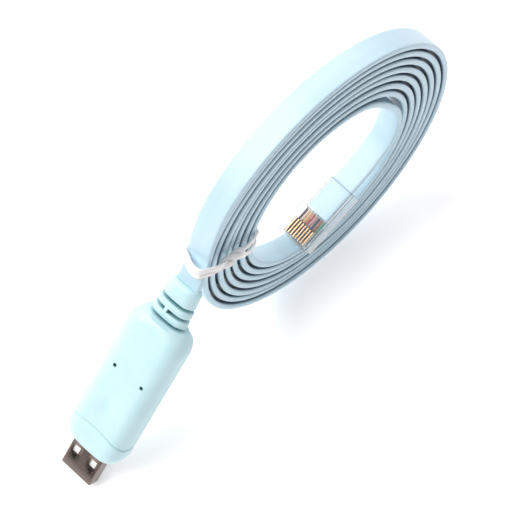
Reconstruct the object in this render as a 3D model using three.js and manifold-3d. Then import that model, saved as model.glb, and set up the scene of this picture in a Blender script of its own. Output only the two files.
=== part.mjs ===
// A console cable: a flat eight-core cord wound into a coil that stands on its rim, with a
// USB-A plug on its outer end, a clear 8P8C modular plug on its inner end, and a wire tie.
// Millimetres, +Z up. X runs from the coil towards the USB plug, and Y along the coil's axis.
import * as THREE from "three";
import { mergeVertices } from "three/addons/utils/BufferGeometryUtils.js";
import Module from "manifold-3d";

const wasm = await Module();
wasm.setup();

// Gaps between pieces that touch: the usual one, and the one around blades and strips.
const gap = 0.3;
const fineGap = 0.15;

// The flat cord, and the coil that it is wound into.
const cord = { width: 8.1, thickness: 2.1, edge: 1 };
const coil = { boreRadius: 30.9, turns: 7, pitch: 2.84, segments: 48, lean: 1.1 };
const turnEdge = { across: 0.65, along: 0.9 };

// The USB-A plug's sheet-metal shell, and the moulding behind it.
const shell = { width: 12, height: 4.5, wall: 0.3, corner: 0.6, out: 12, seat: 6 };
const shellWindow = { across: 2.3, along: 2.5, spread: 3.4, fromMouth: 7.3 };
const tongue = { height: 1.9, recess: 0.7, reach: 9.3 };
const usbContact = { width: 1, thickness: 0.25, pitch: 2.5, outer: 7.4, inner: 6.4, step: 1.2 };
const housing = { width: 20.8, thickness: 12, rear: 65, nose: 1.2, cheek: 4.4, shoulder: 8, edge: 4.2 };
const pinHole = { radius: 0.6, depth: 3, spread: 5.3, fromMouth: 43.4 };
const relief = { rootWidth: 12.4, tipWidth: 10.2, height: 6.6, rear: 76.8, edge: 2.6 };
const reliefSlot = { count: 3, ahead: 1.9, width: 1.4, pitch: 3.4, depth: 1.5, web: 1.2 };

// Where the USB plug stands: its mouth's place, its dip below the level, its turn and its roll.
const usbPose = { mouthX: 104, mouthY: 4.6, dip: 49.2, yaw: 1, roll: -4.6 };

// The 8P8C plug's body, its latch, blades and cores, and how it lies in the coil's bore.
const body = { width: 11.7, length: 22.5, height: 6.6, edge: 0.4 };
const latch = { width: 6, lever: 3.4, thickness: 1.1, air: 1.1, drop: 1.5 };
const latchPlaces = { root: 3, shoulder: 8, tip: 15.5, lap: 0.3, bite: 0.5 };
const blade = { count: 8, pitch: 1.02, thickness: 0.36, length: 5.2, height: 1.9 };
const bladeSeat = { setBack: 0.9, recess: 0.5 };
const core = { diameter: 0.9, front: 1.4, depth: 3.3 };
const sheathReach = 11.6;
const rjPose = { frontX: 13, frontY: 2.2, frontZ: 28.6, pitch: 24 };

// The tie: two strands side by side round the bundle, twisted into a knot on the seen side.
const tie = { radius: 0.65, clear: 0.3, rise: 2.5, spare: 0.6, bend: 1.9, ease: 0.5 };
const strands = [
  { inner: 15.5, outer: 19, far: 19 },
  { inner: 5, outer: 16.9, far: 16.5 },
];
const knot = { radius: 1.5, length: 7, angle: 16, share: 0.9 };

// Points of the two stretches of cord that aren't coiled, each [x, y, z]. The first one goes on to
// the strain relief, and the second one into the modular plug.
const usbLeadRoute = [
  [38.8, 0.4, 82.6],
  [41.5, 0.6, 79.1],
  [43.9, 0.9, 75.4],
  [46.3, 1.5, 71.3],
  [48.6, 2.2, 67.2],
  [51.0, 2.9, 63.1],
];
const rjLeadRoute = [
  [-24.2, 0.9, 66.2],
  [-27.3, 1.1, 61.0],
  [-28.8, 1.2, 55.5],
  [-28.5, 1.4, 50.0],
  [-26.5, 1.7, 45.5],
  [-22.6, 1.9, 41.8],
  [-18.3, 2.1, 39.2],
  [-13.5, 2.2, 36.8],
];

const wound = (coil.turns - 1) * coil.pitch + cord.thickness;
const coilRadius = coil.boreRadius + wound;
const coilHeight = coilRadius * Math.cos(Math.PI / coil.segments);
const radians = THREE.MathUtils.degToRad;

const paint = (color, roughness, metalness = 0, more = {}) =>
  new THREE.MeshStandardMaterial({ color, roughness, metalness, ...more });
const finish = {
  cord: paint("#cfe4ee", 0.45),
  moulding: paint("#cdeff2", 0.4),
  steel: paint("#8b8580", 0.3, 1),
  insulator: paint("#f4f4f0", 0.5),
  gold: paint("#d8b25a", 0.25, 1),
  clear: paint("#eef3f4", 0.1, 0, { transparent: true, opacity: 0.4 }),
  tie: paint("#f5f3ef", 0.6),
};
const warmCores = ["#4e2a24", "#d9b48a", "#e0a35c", "#b23a2a"];
const coreColours = [...warmCores, "#c98b80", "#26242a", "#a8512c", "#1f8a63"];

// A closed geometry as a solid that can be joined and cut.
function solidOf(geometry) {
  const bare = (geometry.index ? geometry.toNonIndexed() : geometry.clone());
  bare.deleteAttribute("normal");
  bare.deleteAttribute("uv");
  const merged = mergeVertices(bare, 1e-4);
  const corners = merged.index.array;
  const triVerts = [];
  for (let i = 0; i < corners.length; i += 3) {
    const [a, b, c] = corners.slice(i, i + 3);
    if (a !== b && b !== c && c !== a) triVerts.push(a, b, c);
  }
  return new wasm.Manifold(
    new wasm.Mesh({
      numProp: 3,
      vertProperties: merged.attributes.position.array,
      triVerts: new Uint32Array(triVerts),
    }),
  );
}

// A joined or cut solid as a geometry again.
function geometryOf(solid) {
  const { vertProperties, triVerts } = solid.getMesh();
  const geometry = new THREE.BufferGeometry();
  geometry.setAttribute("position", new THREE.BufferAttribute(new Float32Array(vertProperties), 3));
  geometry.setIndex(new THREE.BufferAttribute(new Uint32Array(triVerts), 1));
  const flat = geometry.toNonIndexed();
  flat.computeVertexNormals();
  return flat;
}

const join = (...geometries) => geometryOf(geometries.map(solidOf).reduce((a, b) => a.add(b)));
const cut = (from, ...tools) =>
  geometryOf(tools.map(solidOf).reduce((a, b) => a.subtract(b), solidOf(from)));

// A box given by its lowest and highest corners.
function boxBetween(low, high) {
  const size = high.map((value, axis) => value - low[axis]);
  const middle = high.map((value, axis) => (value + low[axis]) / 2);
  return new THREE.BoxGeometry(...size).translate(...middle);
}

// A rectangle with round corners, centred on the origin of its own plane.
function roundRectangle(Kind, width, height, radius) {
  const [x, y] = [width / 2, height / 2];
  const outline = new Kind();
  outline.moveTo(radius - x, -y);
  outline.lineTo(x - radius, -y).quadraticCurveTo(x, -y, x, radius - y);
  outline.lineTo(x, y - radius).quadraticCurveTo(x, y, x - radius, y);
  outline.lineTo(radius - x, y).quadraticCurveTo(-x, y, -x, y - radius);
  outline.lineTo(-x, radius - y).quadraticCurveTo(-x, -y, radius - x, -y);
  return outline;
}

// A section in the Y-Z plane carried along X from one place to another.
function alongX(section, from, to, curveSegments) {
  const geometry = new THREE.ExtrudeGeometry(section, {
    depth: to - from,
    bevelEnabled: false,
    curveSegments,
  });
  return geometry.rotateX(Math.PI / 2).rotateZ(Math.PI / 2).translate(from, 0, 0);
}

// A plan outline in X and Y, given its thickness about z = 0 with rounded long edges.
function slab(outline, thickness, edge, curveSegments) {
  const geometry = new THREE.ExtrudeGeometry(outline, {
    depth: thickness - 2 * edge,
    bevelThickness: edge,
    bevelSize: edge,
    bevelOffset: -edge,
    bevelSegments: 4,
    curveSegments,
  });
  return geometry.translate(0, 0, edge - thickness / 2);
}

// A side outline in X and Z, given its width about y = 0.
function acrossY(points, width) {
  const outline = new THREE.Shape(points.map(([x, z]) => new THREE.Vector2(x, z)));
  const geometry = new THREE.ExtrudeGeometry(outline, { depth: width, bevelEnabled: false });
  return geometry.rotateX(Math.PI / 2).translate(0, width / 2, 0);
}

function named(name, geometry, material) {
  const mesh = new THREE.Mesh(geometry, material);
  mesh.name = name;
  return mesh;
}

// The wound cord as one turned ring: each turn's rounded edges stand out of both ends.
function coilGeometry() {
  const side = cord.width / 2;
  const edges = [];
  for (let turn = 0; turn < coil.turns; turn++) {
    const inner = coil.boreRadius + turn * coil.pitch;
    const outer = inner + cord.thickness;
    edges.push([inner, side - turnEdge.along], [inner + turnEdge.across, side]);
    edges.push([outer - turnEdge.across, side], [outer, side - turnEdge.along]);
  }
  const points = [
    ...edges.map(([r, y]) => new THREE.Vector2(r, -y)),
    ...edges.reverse().map(([r, y]) => new THREE.Vector2(r, y)),
  ];
  points.push(points[0].clone());
  const ring = new THREE.LatheGeometry(points, coil.segments, Math.PI / coil.segments);
  return ring.translate(-coil.lean, 0, coilHeight);
}

// One stretch of flat cord along its own points, and straight on to its end.
function leadGeometry(route, steps) {
  const path = new THREE.CatmullRomCurve3(route.map((point) => new THREE.Vector3(...point)));
  const section = roundRectangle(THREE.Shape, cord.width, cord.thickness, cord.edge);
  return new THREE.ExtrudeGeometry(section, {
    steps,
    bevelEnabled: false,
    curveSegments: 2,
    extrudePath: path,
  });
}

// The plug's shell: a rolled tube with two windows through each broad side.
function shellGeometry() {
  const section = roundRectangle(THREE.Shape, shell.width, shell.height, shell.corner);
  const inner = shell.corner - shell.wall;
  const { width, height, wall } = shell;
  section.holes.push(roundRectangle(THREE.Path, width - 2 * wall, height - 2 * wall, inner));
  const tube = alongX(section, -shell.out - shell.seat, 0, 4);
  const windows = [-1, 1].map((side) => {
    const [x, y] = [-shellWindow.fromMouth, side * shellWindow.spread];
    const [a, b] = [shellWindow.along / 2, shellWindow.across / 2];
    return boxBetween([x - a, y - b, -height], [x + a, y + b, height]);
  });
  return cut(tube, ...windows);
}

const shellInside = {
  y: shell.width / 2 - shell.wall - fineGap,
  z: shell.height / 2 - shell.wall - fineGap,
};
const tongueFace = shellInside.z - tongue.height;
const contactRows = [-1.5, -0.5, 0.5, 1.5].map((place) => ({
  y: place * usbContact.pitch,
  length: Math.abs(place) > 1 ? usbContact.outer : usbContact.inner,
}));

// The white insulator: a full-height block inside the moulding, and a tongue that runs towards
// the mouth along the shell's upper wall, so that it shows white through the upper windows.
function insulatorGeometry() {
  const { y, z } = shellInside;
  const back = -shell.out - shell.seat;
  const whole = boxBetween([back, -y, -z], [-tongue.recess, y, z]);
  const hollow = boxBetween([-tongue.reach, -shell.width, -shell.height], [0, shell.width, tongueFace]);
  const grooves = contactRows.map((row) => {
    const side = usbContact.width / 2 + fineGap;
    const floor = tongueFace + usbContact.thickness + fineGap;
    return boxBetween([-tongue.reach, row.y - side, -z], [-usbContact.step, row.y + side, floor]);
  });
  return cut(whole, hollow, ...grooves);
}

// One contact strip, lying in its groove, flush with the tongue's face.
function usbContactGeometry(row) {
  const back = -tongue.reach + fineGap;
  const half = usbContact.width / 2;
  const top = tongueFace + usbContact.thickness;
  return boxBetween([back, row.y - half, tongueFace], [back + row.length, row.y + half, top]);
}

// The moulding's outline from above: a bowed nose, long sides and round shoulders.
function housingOutline() {
  const [front, rear, side] = [-shell.out, -housing.rear, housing.width / 2];
  const { nose, cheek, shoulder } = housing;
  const outline = new THREE.Shape();
  const quarter = Math.PI / 2;
  outline.absarc(front - cheek, cheek - side, cheek, -quarter, 0);
  outline.quadraticCurveTo(front + 2 * nose, 0, front, side - cheek);
  outline.absarc(front - cheek, side - cheek, cheek, 0, quarter);
  outline.absarc(rear + shoulder, side - shoulder, shoulder, quarter, 2 * quarter);
  outline.absarc(rear + shoulder, shoulder - side, shoulder, 2 * quarter, 3 * quarter);
  return outline;
}

// The strain relief's outline from above: it tapers from the moulding to its tip.
function reliefOutline() {
  const [root, tip] = [-housing.rear + housing.edge, -relief.rear];
  const [wide, slim] = [relief.rootWidth / 2, relief.tipWidth / 2];
  const outline = new THREE.Shape();
  outline.moveTo(root, -wide);
  outline.lineTo(root, wide);
  outline.lineTo(tip, slim);
  outline.lineTo(tip, -slim);
  return outline;
}

// Slots round the strain relief: each frame leaves the core, and the middle one a web.
function reliefSlots() {
  const inside = { y: relief.tipWidth / 2 - reliefSlot.depth, z: relief.height / 2 - reliefSlot.depth };
  const slots = [];
  for (let place = 0; place < reliefSlot.count; place++) {
    const from = reliefSlot.ahead - housing.rear - place * reliefSlot.pitch;
    const to = from - reliefSlot.width;
    const outer = relief.rootWidth;
    for (const side of [-1, 1]) {
      const z = [side * inside.z, side * outer].sort((a, b) => a - b);
      const y = [side * inside.y, side * outer].sort((a, b) => a - b);
      slots.push(boxBetween([to, y[0], -outer], [from, y[1], outer]));
      if (place !== 1) slots.push(boxBetween([to, -outer, z[0]], [from, outer, z[1]]));
      else
        for (const half of [-1, 1]) {
          const span = [half * (reliefSlot.web / 2), half * outer].sort((a, b) => a - b);
          slots.push(boxBetween([to, span[0], z[0]], [from, span[1], z[1]]));
        }
    }
  }
  return slots;
}

// The moulding in one piece with its strain relief, hollowed for the shell and the cord's end.
function housingGeometry() {
  const moulded = join(
    slab(housingOutline(), housing.thickness, housing.edge, 6),
    slab(reliefOutline(), relief.height, relief.edge, 1),
  );
  const { out, seat, width, height } = shell;
  const pocket = boxBetween(
    [-out - seat - gap, -width / 2 - gap, -height / 2 - gap],
    [out, width / 2 + gap, height / 2 + gap],
  );
  const holes = [-1, 1].map((side) =>
    new THREE.CylinderGeometry(pinHole.radius, pinHole.radius, 2 * pinHole.depth, 12)
      .rotateX(Math.PI / 2)
      .translate(-pinHole.fromMouth, side * pinHole.spread, housing.thickness / 2),
  );
  return cut(moulded, pocket, ...holes, ...reliefSlots());
}

// The USB plug, with its mouth at its own origin and X pointing out of the mouth.
function usbPlug() {
  const plug = new THREE.Group();
  plug.add(
    named("usb_shell", shellGeometry(), finish.steel),
    named("usb_insulator", insulatorGeometry(), finish.insulator),
    named("usb_housing", housingGeometry(), finish.moulding),
  );
  contactRows.forEach((row, index) =>
    plug.add(named(`usb_contact_${index + 1}`, usbContactGeometry(row), finish.gold)),
  );
  const { mouthX, mouthY, dip, yaw, roll } = usbPose;
  plug.rotation.set(radians(roll), radians(dip), radians(yaw), "YZX");
  plug.position.set(mouthX, mouthY, 0);
  plug.updateMatrixWorld(true);
  plug.position.z = -new THREE.Box3().setFromObject(plug, true).min.z;
  plug.updateMatrixWorld(true);
  return plug;
}

// The route to the USB plug, which ends just short of the strain relief's tip.
function usbRoute(plug) {
  const end = plug.localToWorld(new THREE.Vector3(-relief.rear - gap, 0, 0));
  return [...usbLeadRoute, end.toArray()];
}

const halfBladeCount = (blade.count - 1) / 2;
const bladeRows = Array.from({ length: blade.count }, (_, i) => (i - halfBladeCount) * blade.pitch);

// The latch: a root at the nose, a broad shoulder and a slim lever that springs away.
function latchGeometry() {
  const under = -body.height;
  const { air, thickness, drop } = latch;
  const { root, shoulder, tip, lap, bite } = latchPlaces;
  const top = (x) => under - air - (drop * (x - root)) / (tip - root);
  const side = (from, to) => [
    [-from, top(from)],
    [-to, top(to)],
    [-to, top(to) - thickness],
    [-from, top(from) - thickness],
  ];
  const knuckle = [
    [-bladeSeat.setBack, under + bite],
    [-root, under + bite],
    [-root, top(root) - thickness],
    [-bladeSeat.setBack, top(root) - thickness / 2],
  ];
  return join(
    acrossY(knuckle, latch.width),
    acrossY(side(root - lap, shoulder), latch.width),
    acrossY(side(shoulder - lap, tip), latch.lever),
  );
}

// The clear body: slots for the blades, a channel for the cores and a mouth for the sheath.
function rjBodyGeometry() {
  const section = roundRectangle(THREE.Shape, body.width, body.height, body.edge);
  const block = alongX(section, -body.length, 0, 2).translate(0, 0, -body.height / 2);
  const middle = -core.depth;
  const halfCord = [cord.width / 2 + gap, cord.thickness / 2 + gap];
  const sheathRoom = boxBetween(
    [-body.length - 1, -halfCord[0], middle - halfCord[1]],
    [-body.length + sheathReach + gap, halfCord[0], middle + halfCord[1]],
  );
  const halfRow = (blade.count * blade.pitch) / 2;
  const coreRoom = boxBetween(
    [-body.length + sheathReach, -halfRow, middle - core.diameter / 2 - fineGap],
    [-core.front + fineGap, halfRow, middle + core.diameter / 2 + fineGap],
  );
  const slots = bladeRows.map((y) => {
    const half = blade.thickness / 2 + fineGap;
    const low = -bladeSeat.recess - blade.height - fineGap;
    const back = -bladeSeat.setBack - blade.length - fineGap;
    return boxBetween([back, y - half, low], [-bladeSeat.setBack + fineGap, y + half, body.height]);
  });
  return cut(join(block, latchGeometry()), sheathRoom, coreRoom, ...slots);
}

function bladeGeometry(y) {
  const half = blade.thickness / 2;
  const low = [-bladeSeat.setBack - blade.length, y - half, -bladeSeat.recess - blade.height];
  return boxBetween(low, [-bladeSeat.setBack, y + half, -bladeSeat.recess]);
}

function coreGeometry(y) {
  const radius = core.diameter / 2;
  const length = body.length - sheathReach - core.front - 2 * gap;
  return new THREE.CylinderGeometry(radius, radius, length, 8)
    .rotateZ(Math.PI / 2)
    .translate(-core.front - length / 2, y, -core.depth);
}

// The route to the modular plug, through the mouth of its body to where the sheath ends.
function rjRoute() {
  const { frontX, frontY, frontZ, pitch } = rjPose;
  const seated = [0, sheathReach / 2, sheathReach].map((along) => {
    const point = new THREE.Vector3(along - body.length, 0, -core.depth);
    point.applyAxisAngle(new THREE.Vector3(0, 1, 0), radians(pitch));
    return [point.x + frontX, point.y + frontY, point.z + frontZ];
  });
  return [...rjLeadRoute, ...seated];
}

// The modular plug, with the middle of its nose's upper edge at its own origin, X out of the nose.
function modularPlug() {
  const plug = new THREE.Group();
  plug.add(named("rj45_body", rjBodyGeometry(), finish.clear));
  bladeRows.forEach((y, index) => {
    const colour = paint(coreColours[index % coreColours.length], 0.5);
    plug.add(
      named(`rj45_contact_${index + 1}`, bladeGeometry(y), finish.gold),
      named(`rj45_core_${index + 1}`, coreGeometry(y), colour),
    );
  });
  plug.rotation.y = radians(rjPose.pitch);
  plug.position.set(rjPose.frontX, rjPose.frontY, rjPose.frontZ);
  return plug;
}

// A point beside the bundle: a distance from the coil's axis, an angle above level, and y.
function aroundAxis(radius, degrees, y) {
  const angle = radians(degrees);
  return new THREE.Vector3(radius * Math.cos(angle), y, coilHeight + radius * Math.sin(angle));
}

// The knot's middle: half way across the bundle, clear of the turns' seen edges.
function knotPlace() {
  const radius = (coil.boreRadius + coilRadius + coil.pitch) / 2;
  return aroundAxis(radius, knot.angle, cord.width / 2 + tie.clear + knot.radius + tie.rise / 2);
}

// One strand of the tie: a loop round the bundle that starts and ends inside the knot.
function strandGeometry(strand) {
  const off = tie.radius + tie.clear;
  const inner = coil.boreRadius - off - coil.lean;
  const outer = coilRadius + coil.pitch + off + tie.spare;
  const near = cord.width / 2 + off;
  const raised = near + tie.rise;
  const far = -cord.width / 2 - off;
  const corners = [
    [outer, raised, strand.outer, -1, -1],
    [outer, far, strand.far, -1, 1],
    [inner, far, strand.inner, 1, 1],
    [inner, near, strand.inner, 1, -1],
  ];
  const bent = corners.flatMap(([radius, y, degrees, inwards, sideways], place) => {
    const points = [
      aroundAxis(radius + inwards * tie.bend, degrees, y),
      aroundAxis(radius + inwards * tie.ease, degrees, y + sideways * tie.ease),
      aroundAxis(radius, degrees, y + sideways * tie.bend),
    ];
    return place % 2 ? points.reverse() : points;
  });
  const { x, y, z } = knotPlace();
  const middle = new THREE.Vector3(x, y, z);
  const loop = [
    bent[0].clone().lerp(middle, knot.share),
    ...bent,
    bent[bent.length - 1].clone().lerp(middle, knot.share),
  ];
  const circle = new THREE.Shape().absarc(0, 0, tie.radius, 0, 2 * Math.PI);
  return new THREE.ExtrudeGeometry(circle, {
    steps: 44,
    bevelEnabled: false,
    curveSegments: 6,
    extrudePath: new THREE.CatmullRomCurve3(loop),
  });
}

// The tie: both strands and the twisted knot that closes them, along the bundle's seen edges.
function tieGeometry() {
  const twist = new THREE.CapsuleGeometry(knot.radius, knot.length, 3, 10)
    .rotateZ(-Math.PI / 2)
    .rotateY(-radians(knot.angle));
  const { x, y, z } = knotPlace();
  return join(twist.translate(x, y, z), ...strands.map(strandGeometry));
}

// The whole cable, with its origin under the middle of its box, on the floor.
function consoleCable() {
  const part = new THREE.Group();
  const plug = usbPlug();
  part.add(
    named("cable_coil", coilGeometry(), finish.cord),
    named("cable_usb_lead", leadGeometry(usbRoute(plug), 12), finish.cord),
    named("cable_rj45_lead", leadGeometry(rjRoute(), 16), finish.cord),
    named("cable_tie", tieGeometry(), finish.tie),
    plug,
    modularPlug(),
  );
  part.updateMatrixWorld(true);
  const box = new THREE.Box3().setFromObject(part, true);
  const middle = box.getCenter(new THREE.Vector3());
  part.position.set(-middle.x, -middle.y, -box.min.z);
  return part;
}

export default consoleCable();
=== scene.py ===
"""Looks of a flat console cable: a tied coil that stands on its rim, with a USB-A plug in a long
moulding on its outer end and a clear 8P8C modular plug on its inner end.

Shapes are worked out in millimetres in the coil's own frame, whose origin is on the floor under
the middle of the winding, with X towards the USB plug, Y along the coil's axis and Z up.
"""

import logging
import math
from dataclasses import dataclass
from enum import Enum
from typing import Any, Sequence

import bmesh
import bpy
import numpy as np
from mathutils import Matrix, Vector


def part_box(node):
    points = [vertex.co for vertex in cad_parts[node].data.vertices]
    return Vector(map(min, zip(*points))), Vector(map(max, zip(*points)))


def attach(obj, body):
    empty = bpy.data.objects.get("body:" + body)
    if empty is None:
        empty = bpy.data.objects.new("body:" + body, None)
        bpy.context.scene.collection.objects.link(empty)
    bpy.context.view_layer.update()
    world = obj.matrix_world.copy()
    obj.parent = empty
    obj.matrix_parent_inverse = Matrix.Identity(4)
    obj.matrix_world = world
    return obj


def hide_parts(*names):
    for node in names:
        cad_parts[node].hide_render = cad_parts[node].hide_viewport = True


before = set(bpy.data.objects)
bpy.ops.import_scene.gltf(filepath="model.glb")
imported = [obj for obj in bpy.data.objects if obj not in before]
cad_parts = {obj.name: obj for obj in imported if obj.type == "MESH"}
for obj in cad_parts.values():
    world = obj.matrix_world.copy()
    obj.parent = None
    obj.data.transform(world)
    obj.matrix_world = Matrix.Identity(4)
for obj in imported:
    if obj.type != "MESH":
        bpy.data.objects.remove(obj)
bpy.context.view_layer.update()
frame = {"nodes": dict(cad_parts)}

Array = np.ndarray
Triple = tuple[float, float, float]

MM = 0.001
BODY = "root"
IMAGE_PIXELS = 512
log = logging.getLogger("cable")

# The winding's middle, in millimetres: its height over the floor, and how far it lies to the +X
# side of the coil solid's middle.
CENTRE_HEIGHT = 50.04
LEAN = 1.1


# Places and turns.


def turn_about(axis: str, degrees: float) -> Array:
    """A turn about one axis as a 3 by 3 array.

    Args:
        axis: "X", "Y" or "Z".
        degrees: The angle, by the right-hand rule.

    Returns:
        The turning matrix.
    """
    return np.array(Matrix.Rotation(math.radians(degrees), 3, axis))


def unit(vectors: Array) -> Array:
    """The same directions with length one."""
    return vectors / np.linalg.norm(vectors, axis=-1, keepdims=True)


@dataclass(frozen=True)
class Stand:
    """Where the coil stands in the row's frame.

    Attributes:
        origin: The floor under the winding's middle, in metres.
    """

    origin: Array

    @classmethod
    def from_coil(cls) -> "Stand":
        """Reads the place from the coil's solid, whose middle is LEAN to the -X side of it.

        Returns:
            The stand.
        """
        low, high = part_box("cable_coil")
        middle = (np.array(low) + np.array(high)) / 2
        return cls(np.array([middle[0] + LEAN * MM, middle[1], 0.0]))

    def metres(self, points: Array) -> Array:
        """Turns points of the coil's frame, in millimetres, into the row's metres."""
        return np.asarray(points, float) * MM + self.origin


@dataclass(frozen=True)
class Seat:
    """Where a plug sits in the coil's frame.

    Attributes:
        place: The plug's own origin, in millimetres.
        turn: The plug's own axes, as the columns of a 3 by 3 array.
    """

    place: Triple
    turn: Array

    def carry(self, points: Array) -> Array:
        """Carries points from the plug's own frame into the coil's."""
        return np.asarray(points, float) @ self.turn.T + np.array(self.place)

    def back_turn(self) -> Triple:
        """The plug's turn undone, as angles about X, Y and Z."""
        return tuple(Matrix(self.turn.tolist()).transposed().to_euler())


# The USB plug's own origin is the middle of its shell's mouth, and its X points out of the mouth.
USB_SEAT = Seat(
    (104.0, 4.6, 1.68), turn_about("Y", 49.2) @ turn_about("Z", 1.0) @ turn_about("X", -4.6)
)


# Curves and surfaces.


def smooth_path(points: Array, spacing: float) -> Array:
    """A smooth line through points, with even steps.

    Each stretch is a cubic whose slope at a point is that of the parabola through the point and
    its two neighbours, with the chord's length as the running value.

    Args:
        points: The points to pass through, (n, 3).
        spacing: The wanted step.

    Returns:
        The points of the line, (m, 3).
    """
    chord = np.linalg.norm(np.diff(points, axis=0), axis=1)
    run = np.concatenate([[0.0], np.cumsum(chord)])
    slope = np.gradient(points, run, axis=0, edge_order=2)
    fine = np.linspace(0.0, run[-1], 8 * len(points))
    place = np.clip(np.searchsorted(run, fine, side="right") - 1, 0, len(chord) - 1)
    step = chord[place][:, None]
    t = (fine - run[place])[:, None] / step
    line = (
        (2 * t**3 - 3 * t**2 + 1) * points[place]
        + (t**3 - 2 * t**2 + t) * step * slope[place]
        + (3 * t**2 - 2 * t**3) * points[place + 1]
        + (t**3 - t**2) * step * slope[place + 1]
    )
    along = np.concatenate([[0.0], np.cumsum(np.linalg.norm(np.diff(line, axis=0), axis=1))])
    even = np.linspace(0.0, along[-1], max(2, round(along[-1] / spacing) + 1))
    return np.stack([np.interp(even, along, line[:, k]) for k in range(3)], axis=1)


def round_section(
    half_across: Array, half_up: Array, radius: Array, arc: int, wide: int, tall: int
) -> Array:
    """Rounded rectangles, one for each row.

    Each corner is a quarter circle about its own centre, and each side is divided evenly.

    Args:
        half_across: Half the width of each row's section.
        half_up: Half the height of each row's section.
        radius: The corners' radius in each row.
        arc: Steps in each corner.
        wide: Steps in the top and the bottom.
        tall: Steps in each of the other two sides.

    Returns:
        Points (rows, n, 2), counter-clockwise from the +across side.
    """
    a, b, r = (np.atleast_1d(np.asarray(v, float))[:, None] for v in (half_across, half_up, radius))
    a, b, r = np.broadcast_arrays(a, b, r)
    angle = np.radians(np.arange(4)[:, None] * 90 + np.linspace(0, 90, arc + 1)).reshape(1, 4, -1)
    sign = np.array([[1, 1], [-1, 1], [-1, -1], [1, -1]])
    x = sign[None, :, :1] * (a - r)[:, :, None] + r[:, :, None] * np.cos(angle)
    y = sign[None, :, 1:] * (b - r)[:, :, None] + r[:, :, None] * np.sin(angle)
    corners = np.stack([x, y], axis=-1)
    parts = []
    for corner in range(4):
        parts.append(corners[:, corner])
        steps = wide if corner % 2 == 0 else tall
        share = (np.arange(1, steps) / steps)[None, :, None]
        start = corners[:, corner, -1:]
        end = corners[:, (corner + 1) % 4, :1]
        parts.append(start + share * (end - start))
    return np.concatenate(parts, axis=1)


def sweep(path: Array, across: Array, section: Array) -> Array:
    """Carries a section along a path.

    The section's first direction is across, squared to the path, and its second is the path's
    direction crossed with it.

    Args:
        path: The section's centres, (n, 3).
        across: The wanted first direction at each centre, (n, 3).
        section: Points (m, 2), or (n, m, 2) for a section that changes.

    Returns:
        Points (n, m, 3).
    """
    along = unit(np.gradient(path, axis=0))
    first = unit(across - np.sum(across * along, axis=1, keepdims=True) * along)
    second = np.cross(along, first)
    section = np.broadcast_to(section, (len(path),) + section.shape[-2:])
    return (
        path[:, None]
        + section[..., :1] * first[:, None]
        + section[..., 1:] * second[:, None]
    )


def put_mesh(name: str, points: Array, faces: list[Sequence[int]], smooth: float) -> bpy.types.Object:
    """Makes an object of points and faces, shaded smooth up to an angle.

    Args:
        name: The piece's name.
        points: Vertices in metres.
        faces: Corner indices of each face.
        smooth: Edges sharper than this, in degrees, stay sharp.

    Returns:
        The new object, linked to the scene.
    """
    mesh = bpy.data.meshes.new(name)
    mesh.from_pydata(points.tolist(), [], faces)
    mesh.validate()
    mesh.shade_smooth()
    mesh.set_sharp_from_angle(angle=math.radians(smooth))
    piece = bpy.data.objects.new(name, mesh)
    bpy.context.collection.objects.link(piece)
    return piece


def ring_mesh(
    name: str,
    rings: Array,
    smooth: float = 40,
    keep: Array | None = None,
    closed_ends: bool = True,
) -> bpy.types.Object:
    """A tube through rings of points, closed at both ends by a fan about each end's middle.

    Args:
        name: The piece's name.
        rings: Points in metres, (n, m, 3).
        smooth: The sharpest edge to shade smooth, in degrees.
        keep: Which of the (n - 1, m) faces to make; all of them by default.
        closed_ends: Whether the two ends are closed.

    Returns:
        The new object, with its faces outwards.
    """
    n, m = rings.shape[:2]
    index = np.arange(n * m).reshape(n, m)
    after = np.roll(index, -1, axis=1)
    quads = np.stack([index[:-1], index[1:], after[1:], after[:-1]], axis=-1)
    quads = quads.reshape(-1, 4) if keep is None else quads[keep]
    points = rings.reshape(-1, 3)
    fans = []
    if closed_ends:
        points = np.concatenate([points, rings[[0, -1]].mean(axis=1)])
        first = np.stack([np.full(m, n * m), index[0], after[0]], axis=-1)
        last = np.stack([np.full(m, n * m + 1), after[-1], index[-1]], axis=-1)
        fans = [first, last]
    a, b, c, d = (points[quads[:, k]] - points.mean(axis=0) for k in range(4))
    volume = np.sum(np.cross(a, b) * c + np.cross(a, c) * d)
    step = 1 if volume > 0 else -1
    faces = quads[:, ::step].tolist()
    for fan in fans:
        faces += fan[:, ::step].tolist()
    return put_mesh(name, points, faces, smooth)


def unwrap_tube(piece: bpy.types.Object, rings: Array) -> None:
    """Gives a tube a UV map in millimetres: u round the section and v along the tube.

    Args:
        piece: The tube, made by ring_mesh from the same rings.
        rings: Its rings, in metres.
    """
    n, m = rings.shape[:2]
    closed = np.concatenate([rings, rings[:, :1]], axis=1)
    around = np.cumsum(np.linalg.norm(np.diff(closed, axis=1), axis=2), axis=1) / MM
    centres = rings.mean(axis=1)
    along = np.concatenate([[0.0], np.cumsum(np.linalg.norm(np.diff(centres, axis=0), axis=1))])
    u = np.concatenate([(around - around[:, :1]).ravel(), [0.0, 0.0]])
    v = np.concatenate([np.repeat(along / MM, m), [0.0, along[-1] / MM]])
    layer = piece.data.uv_layers.new(name="tube_mm")
    corner = np.empty(len(piece.data.loops), np.int32)
    piece.data.loops.foreach_get("vertex_index", corner)
    layer.data.foreach_set("uv", np.stack([u[corner], v[corner]], axis=1).ravel().astype(np.float32))


def apply_modifiers(piece: bpy.types.Object) -> None:
    """Turns what the piece's modifiers make into its own mesh.

    Args:
        piece: The piece, which keeps no modifier.
    """
    depsgraph = bpy.context.evaluated_depsgraph_get()
    finished = bpy.data.meshes.new_from_object(piece.evaluated_get(depsgraph))
    piece.modifiers.clear()
    piece.data = finished


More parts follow.
